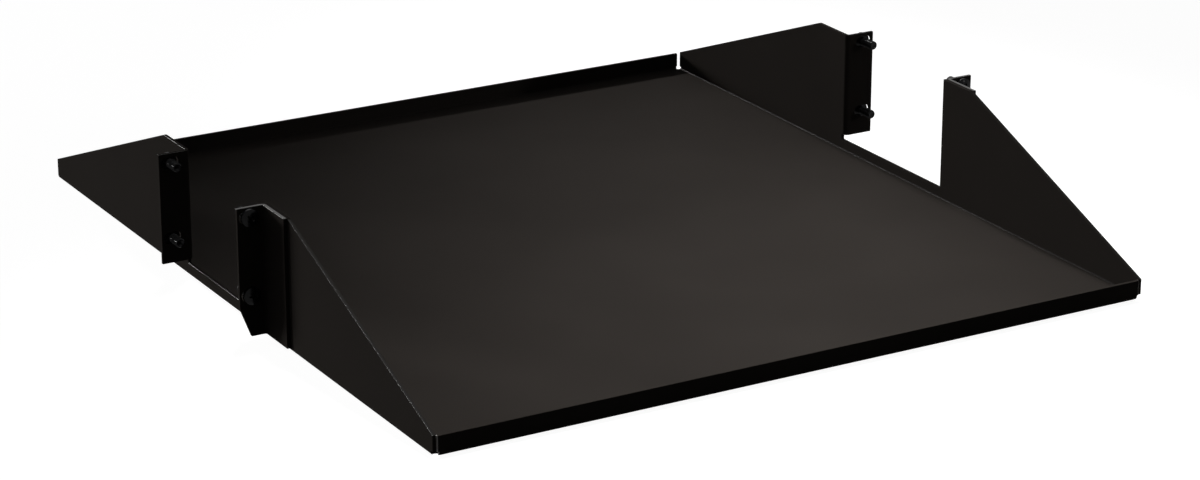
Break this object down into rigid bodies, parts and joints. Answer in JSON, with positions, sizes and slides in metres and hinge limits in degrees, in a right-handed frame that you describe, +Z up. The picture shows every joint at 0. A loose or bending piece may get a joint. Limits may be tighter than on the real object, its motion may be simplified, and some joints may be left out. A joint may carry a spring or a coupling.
{
  "type": "rack shelf",
  "caption": "Centre-mount shelf for open rack posts: folded sheet pan with upturned lips and sloped side gussets, slotted ears that clasp the posts, and pan-head screws.",
  "frame": {"origin": "middle of the floor's underside, in width and in depth", "axes": "+X across the rack to the right seen from the front, +Y from the front lip to the rear lip, +Z up"},
  "size_m": [0.4786, 0.4952, 0.0762],
  "materials": {
    "powder_coat": "fine-textured satin black powder coat",
    "black_screw": "black oxide"
  },
  "bodies": {
    "root": {"shelf_pan": "powder_coat", "front_left_bracket": "powder_coat", "front_right_bracket": "powder_coat", "mounting_screws": "black_screw"}
  },
  "joints": []
}
